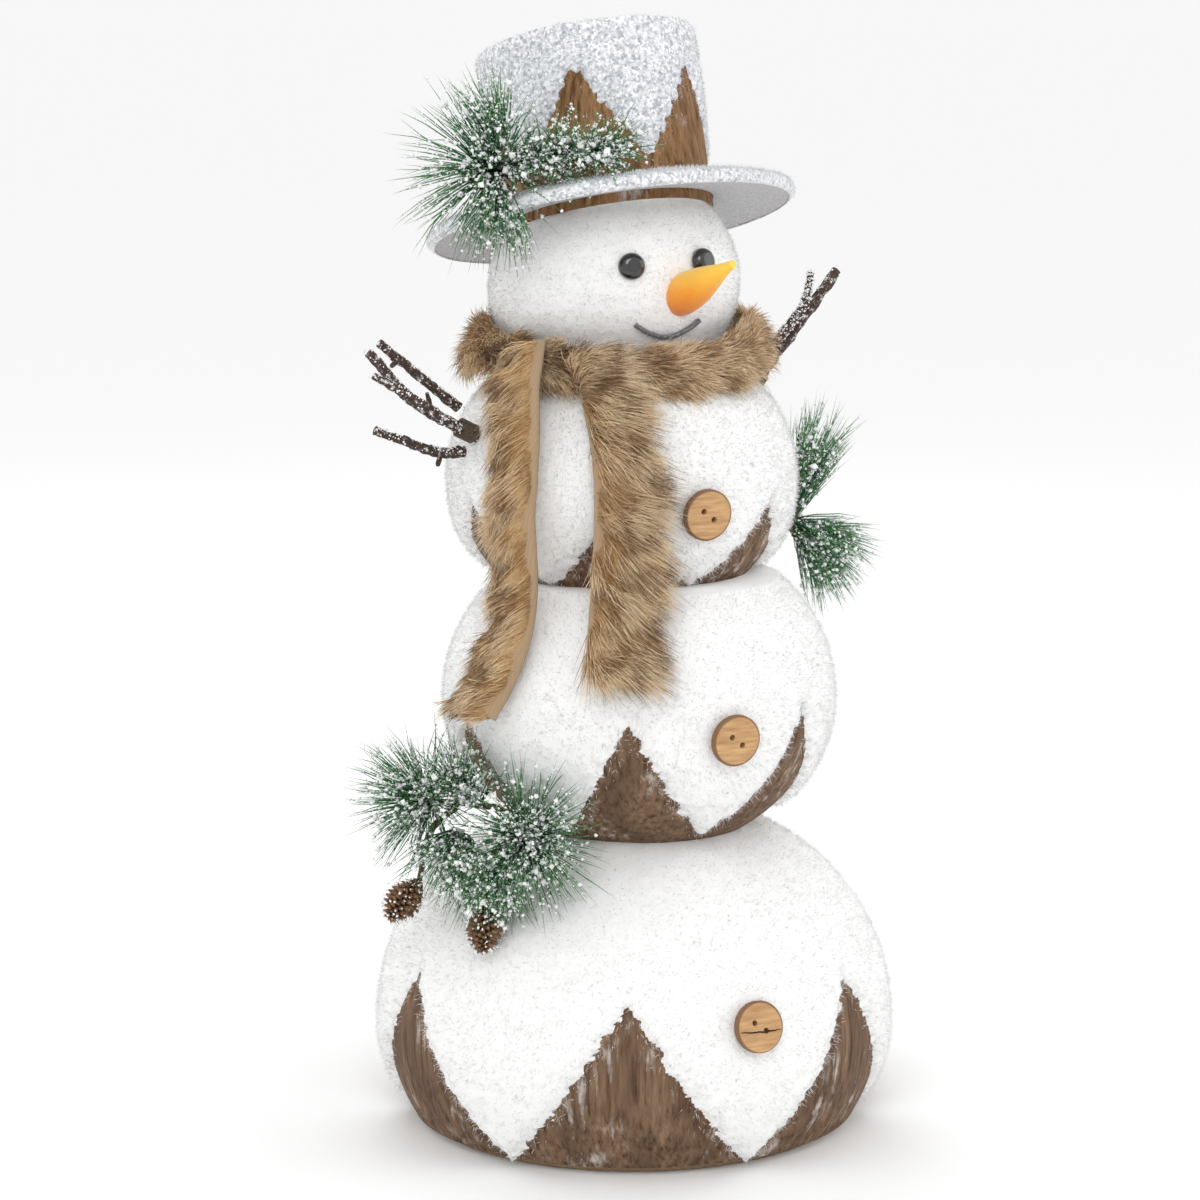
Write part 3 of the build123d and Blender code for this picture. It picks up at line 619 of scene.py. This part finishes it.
# ---------------------------------------------------------------- fur scarf
class Strip:
    """A ribbon of fur cloth along a path of centres, with its face and width directions."""

    def __init__(self, centres, outs, sides, width, closed=False):
        self.centres, self.outs, self.sides = centres, unit(outs), unit(sides)
        self.width, self.closed = width, closed

    def at(self, share, across):
        """Points and faces at shares along and across the strip."""
        last = len(self.centres) if self.closed else len(self.centres) - 1
        where = np.clip(share, 0, 0.99999) * last
        low = where.astype(int)
        part = (where - low)[..., None]
        high = (low + 1) % len(self.centres)
        blend = [values[low] * (1 - part) + values[high] * part
                 for values in (self.centres, self.outs, self.sides, self.width[:, None])]
        centre, out, side, width = blend
        sag = -(2 * across[..., None])**2 * 0.10 * width
        return centre + side * width * across[..., None] + out * sag, unit(out), unit(side)

    def length(self):
        """Length along the middle of the strip."""
        ends = np.roll(self.centres, -1, axis=0) if self.closed else self.centres[1:]
        starts = self.centres if self.closed else self.centres[:-1]
        return float(np.linalg.norm(ends - starts, axis=1).sum())

    def cloth(self, name, material, thick=1.6 * MM, rows=120, columns=12):
        """The strip's ground cloth as a thin closed mesh."""
        shares = np.linspace(0, 1, rows, endpoint=not self.closed)
        across = np.linspace(-0.5, 0.5, columns)
        share, cross = np.meshgrid(shares, across, indexing="ij")
        points, out, _ = self.at(share, cross)
        wave = rough(points.reshape(-1, 3), 60.0, 1.2 * MM).reshape(share.shape)[..., None]
        face = points + out * (0.5 * thick + wave)
        back = points - out * (0.5 * thick - wave)
        ring = np.concatenate([face, back[:, ::-1]], axis=1)
        count = 2 * columns
        faces = []
        for row in range(rows if self.closed else rows - 1):
            after = (row + 1) % rows
            for column in range(count):
                beside = (column + 1) % count
                faces.append((row * count + column, row * count + beside,
                              after * count + beside, after * count + column))
        if not self.closed:
            faces.append(tuple(range(count - 1, -1, -1)))
            faces.append(tuple((rows - 1) * count + column for column in range(count)))
        return link_mesh(name, ring.reshape(-1, 3), faces, material)

    def fur(self, name, count, reach, comb, material, seed, edge=0.5):
        """Hairs rooted over the face and clumped into locks.

        The comb says how far they lean outward, along and aside, and how that fans across.
        """
        chance = np.random.default_rng(seed)
        share = chance.random(count)
        across = chance.uniform(-0.5, edge, count)
        points, out, side = self.at(share, across)
        ahead = self.at(np.clip(share + 0.01, 0, 1), across)[0]
        behind = self.at(np.clip(share - 0.01, 0, 1), across)[0]
        run = unit(ahead - behind)
        lock = np.stack([rough(points + shift, 95.0, 1.0) for shift in (0.0, 0.37, 0.71)], axis=-1)
        outward, along, aside, fan = comb
        way = (out * outward + run * along + side * (aside + fan * across)[:, None]
               + 0.75 * lock + 0.16 * chance.normal(size=points.shape))
        size = reach * chance.uniform(0.6, 1.1, count) * (1 + 0.25 * lock[:, 0])
        tips = points + unit(way) * size[:, None]
        tips[:, 2] -= 0.18 * size
        bends = out * (0.16 * size)[:, None]
        radii = chance.uniform(0.13, 0.24, count) * MM
        return spikes(name, points - 0.4 * MM * out, tips, bends, radii, material,
                      chance.random(count), 3)


def curve_through(points, count):
    """Evenly shared points on a smooth curve through a few given ones."""
    points = np.asarray(points, float)
    padded = np.vstack([2 * points[0] - points[1], points, 2 * points[-1] - points[-2]])
    where = np.linspace(0, len(points) - 1 - 1e-6, count)
    low = where.astype(int)
    part = (where - low)[:, None]
    first, second, third, fourth = (padded[low + step] for step in range(4))
    return 0.5 * (2 * second + (third - first) * part
                  + (2 * first - 5 * second + 4 * third - fourth) * part**2
                  + (3 * second - first - 3 * third + fourth) * part**3)


SCARF_CENTRE = np.array([0.0, 17.0, 0.0]) * MM


def radial(angle):
    """Outward direction at an angle in degrees from the front."""
    turn = math.radians(angle)
    return np.array([math.sin(turn), -math.cos(turn), 0.0])


def loop_strip():
    """The scarf round the neck, lower in front and lying on the chest's shoulder."""
    angles = np.linspace(0, 2 * math.pi, 72, endpoint=False)
    flat = np.stack([np.sin(angles), -np.cos(angles), 0 * angles], axis=-1)
    height = 353.0 * MM - 8.0 * MM * np.maximum(np.cos(angles + 0.15), 0)
    height = height + 6.0 * MM * np.exp(-((angles - 1.0) / 0.4)**2)
    centres = SCARF_CENTRE + flat * 62.0 * MM + height[:, None] * np.array([0, 0, 1.0])
    up = np.array([0, 0, 1.0])
    outs = flat * 0.92 + 0.38 * up
    sides = up * 0.92 - flat * 0.38
    return Strip(centres, outs, sides, np.full(72, 19.0 * MM), closed=True)


def tail_strip(angle_path, run, widths):
    """A tail hanging down the front, from (radius, height) points and their angles."""
    route = curve_through([tuple(SCARF_CENTRE + radial(angle) * radius * MM
                                 + np.array([0, 0, height * MM]))
                           for angle, (radius, height) in zip(angle_path, run)], 40)
    turns = np.interp(np.linspace(0, 1, 40), np.linspace(0, 1, len(angle_path)), angle_path)
    outs = np.array([radial(turn) for turn in turns])
    along = unit(np.gradient(route, axis=0))
    sides = np.cross(outs, along)
    outs = np.cross(along, sides)
    wide = np.interp(np.linspace(0, 1, 40), np.linspace(0, 1, len(widths)), widths) * MM
    return Strip(route, outs, sides, wide)


def add_scarf(fur, backing):
    """The fur scarf: its loop and its two hanging tails."""
    parts = {
        "neck_loop": (loop_strip(), 20000, 12.0 * MM, 41,
                      (0.55, 0.75, -0.1, 1.2), 0.5),
        "right_tail": (tail_strip([-62, -58, -55, -54, -52, -54, -60],
                                  [(66, 356), (80, 342), (90, 313), (95, 284), (97, 254),
                                   (103, 228), (110, 202)], [17, 18, 18, 17, 14, 17, 19]),
                       15000, 15.0 * MM, 42,
                       (0.35, 0.75, -0.8, -0.9), 0.42),
        "left_tail": (tail_strip([-40, -33, -28, -27, -28, -29, -29],
                                 [(63, 350), (74, 338), (88, 312), (92, 285), (96, 257),
                                  (103, 236), (109, 222)], [15, 17, 18, 19, 18, 17, 16]),
                      15000, 24.0 * MM, 43,
                      (0.35, 0.5, 1.0, 0.9), 0.5),
    }
    for name, (strip, count, reach, seed, comb, edge) in parts.items():
        cloth = strip.cloth(f"scarf_{name}_cloth", backing)
        hairs = [strip.fur(f"scarf_{name}_{layer}_fur", count // 2, reach * share, comb, fur,
                           seed + extra, edge)
                 for layer, share, extra in (("under", 0.85, 0), ("over", 1.1, 10))]
        dress_piece(cloth, "scarf_fur", f"scarf_{name}")
        for hair in hairs:
            dress_piece(hair, "scarf_fur")
        strip.length()


# ---------------------------------------------------------------- twig arms
def twig(name, points, radii, material, seed, sides=12, count=46):
    """A knobbly twig along a smooth line, closed at both ends."""
    line = curve_through(np.array(points) * MM, count)
    width = np.interp(np.linspace(0, 1, count), np.linspace(0, 1, len(radii)), radii) * MM
    along = unit(np.gradient(line, axis=0))
    side = unit(np.cross(along, [0.1, 1.0, 0.2]))
    other = np.cross(along, side)
    rings = []
    for corner in range(sides):
        turn = 2 * math.pi * corner / sides
        facing = math.cos(turn) * side + math.sin(turn) * other
        surface = line + facing * width[:, None]
        knobs = rough(surface + seed, 420.0, 0.30) + rough(surface + seed, 150.0, 0.25)
        rings.append(line + facing * (width * (1 + knobs))[:, None])
    ring = np.stack(rings, axis=1).reshape(-1, 3)
    faces = []
    for row in range(count - 1):
        for column in range(sides):
            after = (column + 1) % sides
            faces.append((row * sides + column, row * sides + after,
                          (row + 1) * sides + after, (row + 1) * sides + column))
    faces.append(tuple(range(sides - 1, -1, -1)))
    faces.append(tuple((count - 1) * sides + column for column in range(sides)))
    return link_mesh(name, ring, faces, material)


# Each twig's route in millimetres from its foot, its radii, and its short side spurs.
TWIGS = {
    "right_arm": {
        "main_twig": ([(-44.5, 8, 300.3), (-66, 8, 311), (-85.7, 8, 320.8), (-106, 7.5, 333.5),
                       (-124, 9, 353.5)], [3.0, 2.9, 2.8, 2.6, 2.2]),
        "upper_twig": ([(-80, 12.5, 327), (-97, 14.5, 341), (-117, 14, 357)], [2.3, 2.2, 1.9]),
        "middle_twig": ([(-84, 1.5, 318), (-101, 0, 329.5), (-125, 1.5, 344)], [2.2, 2.1, 1.7]),
        "lower_twig": ([(-81, 5, 308.5), (-96, 4, 309.5), (-123, 6, 320)], [2.4, 2.3, 1.8]),
    },
    "left_arm": {
        "main_twig": ([(42.6, 8, 306), (58.5, 8, 324), (69, 8, 336), (88, 7, 358),
                       (108.5, 8, 381)], [3.0, 2.9, 2.9, 2.8, 2.4]),
        "side_twig": ([(69, 2.6, 343), (74, 0, 352.5), (86.5, 0.5, 366), (91.5, 2, 381)],
                      [2.0, 2.0, 2.1, 1.6]),
    },
}
SPURS = {
    "right_arm": [[(-92, 5, 309), (-95, 2, 303.5)], [(-95, 9, 327), (-98, 6, 335)],
                  [(-106, 4, 314), (-111, 2, 317)], [(-108, 13, 350), (-113, 10, 347)]],
    "left_arm": [[(86, 1, 365), (90.5, -1, 368)], [(79, 7, 348), (84, 5, 351)]],
}


def add_arms(bark, flake):
    """The twig arms, their side spurs and the snow caught on them."""
    seed = 0
    for arm, twigs in TWIGS.items():
        caught = []
        for name, (points, radii) in twigs.items():
            seed += 1
            piece = twig(f"{arm}_{name}_bark", points, radii, bark, seed)
            dress_piece(piece, "twig_bark", f"{arm}_{name}", body=arm)
            caught.append(curve_through(np.array(points[-3:]) * MM, 60))
        for index, points in enumerate(SPURS[arm]):
            seed += 1
            spur = twig(f"{arm}_spur_{index + 1}", points, [1.5, 0.9], bark, seed, 8, 10)
            dress_piece(spur, "twig_bark", body=arm)
        line = np.concatenate(caught)
        chance = np.random.default_rng(50 + seed)
        where = line[chance.integers(0, len(line), 900)]
        away = unit(chance.normal(size=where.shape) + np.array([0, -0.3, 0.6]))
        dust = flakes(f"{arm}_snow_dust", where + away * 2.4 * MM,
                      chance.uniform(0.25, 0.7, len(where)) * MM, flake, 60 + seed)
        dress_piece(dust, "snow_flock", body=arm)


def flakes(name, points, sizes, material, seed):
    """Grains of snow: small uneven closed octahedra."""
    chance = np.random.default_rng(seed)
    corners = np.array([(1, 0, 0), (-1, 0, 0), (0, 1, 0), (0, -1, 0), (0, 0, 1), (0, 0, -1)], float)
    faces = np.array([(0, 2, 4), (2, 1, 4), (1, 3, 4), (3, 0, 4),
                      (2, 0, 5), (1, 2, 5), (3, 1, 5), (0, 3, 5)])
    count = len(points)
    first = unit(chance.normal(size=(count, 3)))
    second = unit(np.cross(first, chance.normal(size=(count, 3))))
    turn = np.stack([first, second, np.cross(first, second)], axis=1)
    shape = corners[None] * chance.uniform(0.6, 1.3, (count, 6, 1)) * sizes[:, None, None]
    where = (points[:, None] + np.einsum("nij,njk->nik", shape, turn)).reshape(-1, 3)
    every = (faces[None] + 6 * np.arange(count)[:, None, None]).reshape(-1, 3)
    return link_mesh(name, where, every.tolist(), material)


# ---------------------------------------------------------------- pine sprigs
# Each tuft: where its needles start, its end, the way they point, spread, reach and count.
SPRIGS = {
    "hat_sprig": [
        ((-76, -8, 432), (-70, -12, 432), (-0.75, -0.35, 0.05), 1.15, 50, 230),
        ((-72, -12, 434), (-30, -40, 440), (0.4, -0.7, 0.25), 0.95, 26, 420),
        ((-72, -8, 426), (-66, -14, 420), (-0.35, -0.4, -0.8), 0.55, 38, 150),
        ((-72, -6, 440), (-66, -10, 444), (-0.45, -0.2, 0.95), 0.45, 38, 90)],
    "chest_sprig": [
        ((80, 6, 262), (88, 2, 284), (0.32, -0.15, 1.0), 0.42, 46, 330),
        ((80, 6, 268), (94, 0, 262), (0.75, -0.3, -0.45), 0.5, 36, 260),
        ((84, 4, 262), (92, 0, 258), (0.45, -0.2, -0.85), 0.4, 38, 160)],
    "middle_sprig": [
        ((-80, -48, 146), (-76, -52, 144), (-0.35, -0.85, 0.05), 1.25, 44, 420),
        ((-102, -6, 156), (-106, -4, 156), (-0.9, -0.25, 0.15), 1.15, 42, 300),
        ((-88, -24, 156), (-94, -14, 160), (-0.6, -0.5, 0.7), 0.75, 36, 200),
        ((-92, -28, 138), (-84, -40, 138), (-0.6, -0.6, -0.6), 0.65, 36, 220),
        ((-88, -44, 136), (-92, -34, 136), (-0.15, -0.4, -1.0), 0.6, 38, 170),
        ((-98, -18, 146), (-94, -26, 144), (-0.45, -0.3, -0.8), 0.7, 38, 200)],
}
STEMS = {
    "hat_sprig": [[(-46, 12, 424), (-62, 0, 430), (-74, -10, 433)],
                  [(-66, -5, 431), (-58, -20, 436), (-44, -32, 439)]],
    "chest_sprig": [[(66, 14, 268), (76, 8, 267), (86, 3, 270)],
                    [(76, 8, 267), (82, 5, 264), (90, 2, 260)]],
    "middle_sprig": [[(-62, -16, 150), (-76, -30, 148), (-80, -48, 146)],
                     [(-64, -16, 150), (-84, -14, 154), (-104, -5, 157)],
                     [(-80, -40, 147), (-89, -38, 134), (-92, -40, 116)],
                     [(-92, -11, 155), (-104, -6, 142), (-111, -10, 122)]],
}


def add_sprigs(green, brown, flake):
    """Snowy pine sprigs on the hat, beside the chest and over the bottom ball."""
    for index, (name, tufts) in enumerate(SPRIGS.items()):
        chance = np.random.default_rng(70 + index)
        roots, tips, bends = [], [], []
        for start, end, way, spread, reach, count in tufts:
            share = chance.random((count, 1))
            root = (np.array(start) * (1 - share) + np.array(end) * share) * MM
            lean = unit(np.array(way) + spread * unit(chance.normal(size=(count, 3))))
            size = reach * MM * chance.uniform(0.62, 1.05, (count, 1))
            roots.append(root)
            tips.append(root + lean * size)
            bends.append(chance.normal(size=(count, 3)) * size * 0.035
                         + np.array([0, 0, 0.03]) * size)
        roots, tips, bends = (np.concatenate(values) for values in (roots, tips, bends))
        size = chance.uniform(0.30, 0.46, len(roots)) * MM
        needles = spikes(f"{name}_pine_needles", roots, tips, bends, size, green,
                         chance.random(len(roots)), 3)
        dress_piece(needles, "pine_needles", f"{name}_needles")
        pick = chance.integers(0, len(roots), 7 * len(roots))
        share = chance.beta(1.6, 1.3, (len(pick), 1)) * 0.92
        where = (roots[pick] + (tips[pick] - roots[pick]) * share
                 + bends[pick] * (4 * share * (1 - share)))
        where = where + chance.normal(size=where.shape) * 0.35 * MM
        grains = flakes(f"{name}_snow_grains", where,
                        chance.gamma(2.2, 0.24, len(where)) * MM, flake, 80 + index)
        dress_piece(grains, "snow_flock")
        for branch, points in enumerate(STEMS[name]):
            stem = twig(f"{name}_stem_{branch + 1}", points, [1.6, 1.5, 1.2], brown,
                        90 + 5 * index + branch, 8, 20)
            dress_piece(stem, "sprig_wire", f"{name}_stems")


CONES = [((-92, -40, 116), (-0.35, -0.5, -0.8)), ((-111, -10, 122), (-0.7, -0.2, -0.6))]


def add_pine_cones(brown, flake):
    """Small pine cones: rings of woody scales round a core, dusted with snow."""
    roots, tips, radii = [], [], []
    for place_mm, way in CONES:
        axis = unit(np.array(way))
        side = unit(np.cross(axis, [0, 0, 1.0]))
        other = np.cross(axis, side)
        for step in range(110):
            share = step / 110
            turn = step * math.pi * (3 - math.sqrt(5))
            facing = math.cos(turn) * side + math.sin(turn) * other
            width = 8.0 * math.sin(math.pi * (0.12 + 0.8 * share))
            foot = np.array(place_mm) + axis * 22 * share + facing * width * 0.35
            roots.append(foot * MM)
            tips.append((foot + facing * width * 0.75 + axis * 1.6) * MM)
            radii.append((0.7 + 1.5 * math.sin(math.pi * share)) * MM)
    chance = np.random.default_rng(95)
    scales = spikes("pine_cone_scales", roots, tips, np.zeros((len(roots), 3)), radii, brown,
                    chance.random(len(roots)), 2)
    dress_piece(scales, "pine_cone", "pine_cones")
    where = np.array(tips)[chance.integers(0, len(tips), 300)]
    dust = flakes("pine_cone_snow", where + chance.normal(size=where.shape) * 0.6 * MM,
                  chance.uniform(0.3, 0.8, len(where)) * MM, flake, 96)
    dress_piece(dust, "snow_flock")


# ---------------------------------------------------------------- carried-over nodes
def dress_node(node, material):
    """Give a CAD node its finished material."""
    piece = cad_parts[node]
    piece = bpy.data.objects[piece] if isinstance(piece, str) else piece
    piece.data.materials.clear()
    piece.data.materials.append(material)


def dress_nodes():
    """Materials for every CAD node that stays in view."""
    wood = wood_material("weathered_wood", (0.07, 0.038, 0.022), (0.30, 0.185, 0.11),
                         (0.62, 0.57, 0.52), 0.30)
    bark = wood_material("hat_bark", (0.10, 0.045, 0.016), (0.42, 0.235, 0.105),
                         (0.66, 0.62, 0.58), 0.33)
    for name in BALLS:
        dress_node(f"{name}_ball_veneer", wood)
    dress_node("hat_crown_veneer", bark)
    felt = plain_grained("hat_felt", (0.42, 0.42, 0.43), (0.64, 0.64, 0.65), 900, 0.95)
    dress_node("hat_brim", felt)
    dress_node("hat_brim_snow", glitter_material("brim_flock"))
    foam = plain_grained("foam", (0.80, 0.80, 0.79), (0.9, 0.9, 0.89), 500, 0.8)
    for node in ("bottom_ball_core", "middle_ball_core", "chest_ball_core", "head_core",
                 "hat_crown_core"):
        dress_node(node, foam)
    board = plain_grained("pressed_board", (0.26, 0.17, 0.10), (0.38, 0.27, 0.17), 600, 0.85)
    dress_node("base_board", board)
    dowel = plain_grained("dowel_wood", (0.45, 0.30, 0.17), (0.6, 0.44, 0.27), 300, 0.6)
    dress_node("centre_dowel", dowel)
    for side in ("right", "left"):
        dress_node(f"{side}_eye", bead_material(f"{side}_bead"))
        tape = plain_grained(f"{side}_tape", (0.05, 0.035, 0.02), (0.13, 0.09, 0.055), 800, 0.7)
        dress_node(f"{side}_arm_tape", tape)
    nose_low, nose_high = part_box("carrot_nose")
    dress_node("carrot_nose", carrot_material("carrot", nose_low[2], nose_high[2]))
    smile = plain_grained("mouth_glitter", (0.02, 0.02, 0.025), (0.30, 0.30, 0.33), 1800, 0.5,
                          0.0006)
    dress_node("mouth_cord", smile)
    for name in ("top", "middle", "bottom"):
        low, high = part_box(f"{name}_button")
        centre = [0.5 * (a + b) for a, b in zip(low, high)]
        dress_node(f"{name}_button", button_material(f"{name}_button_wood", centre))


def add_crack_shade():
    """A near-black ragged line across the bottom button, a little below its middle: painted shade
    inside a real crack.
    """
    low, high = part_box("bottom_button")
    ball = BALLS["bottom"]
    rise = (0.5 * (low[2] + high[2]) - ball["z"] * MM) / (ball["c"] * MM)
    out = unit(np.array([0, -math.sqrt(1 - rise**2) / ball["a"], rise / ball["c"]]))
    up = np.cross(out, [1.0, 0, 0])
    middle = np.array([0.5 * (a + b) for a, b in zip(low, high)])
    middle = middle + out * 1.75 * MM - up * 1.6 * MM
    chance = np.random.default_rng(97)
    steps = np.linspace(-9.8, 9.8, 25)
    points = [middle + np.array([step * MM, 0, 0]) + up * drift * MM
              for step, drift in zip(steps, np.cumsum(chance.normal(size=25)) * 0.12)]
    # The line's near-black colour is painted shade, standing in for the shadow down inside the crack.
    black = plain_grained("crack_shadow", (0.012, 0.006, 0.003), (0.04, 0.02, 0.01), 900, 0.9)
    line = twig("bottom_button_crack", np.array(points) / MM, [0.15, 0.42, 0.36, 0.45, 0.15],
                black, 98, 6, 60)
    dress_piece(line, "button_wood")


# ---------------------------------------------------------------- the figure
add_camera()
add_stage()
dress_nodes()
white = snow_material("snow_flock")
add_snow(white, glitter_material("glitter_flock"))
add_brim_fuzz(bpy.data.materials["glitter_flock"])
add_scarf(fur_material("scarf_fur"), backing_material("scarf_backing"))
frost = snow_material("snow_grains", (0.95, 0.96, 0.96))
add_arms(bark_material("twig_bark"), frost)
add_crack_shade()
stem_bark = plain_grained("sprig_bark", (0.06, 0.035, 0.02), (0.20, 0.12, 0.07), 700, 0.8)
add_sprigs(needle_material("pine_needles"), stem_bark, frost)
add_pine_cones(plain_grained("cone_scales", (0.09, 0.045, 0.02), (0.34, 0.19, 0.10), 500, 0.75),
               frost)
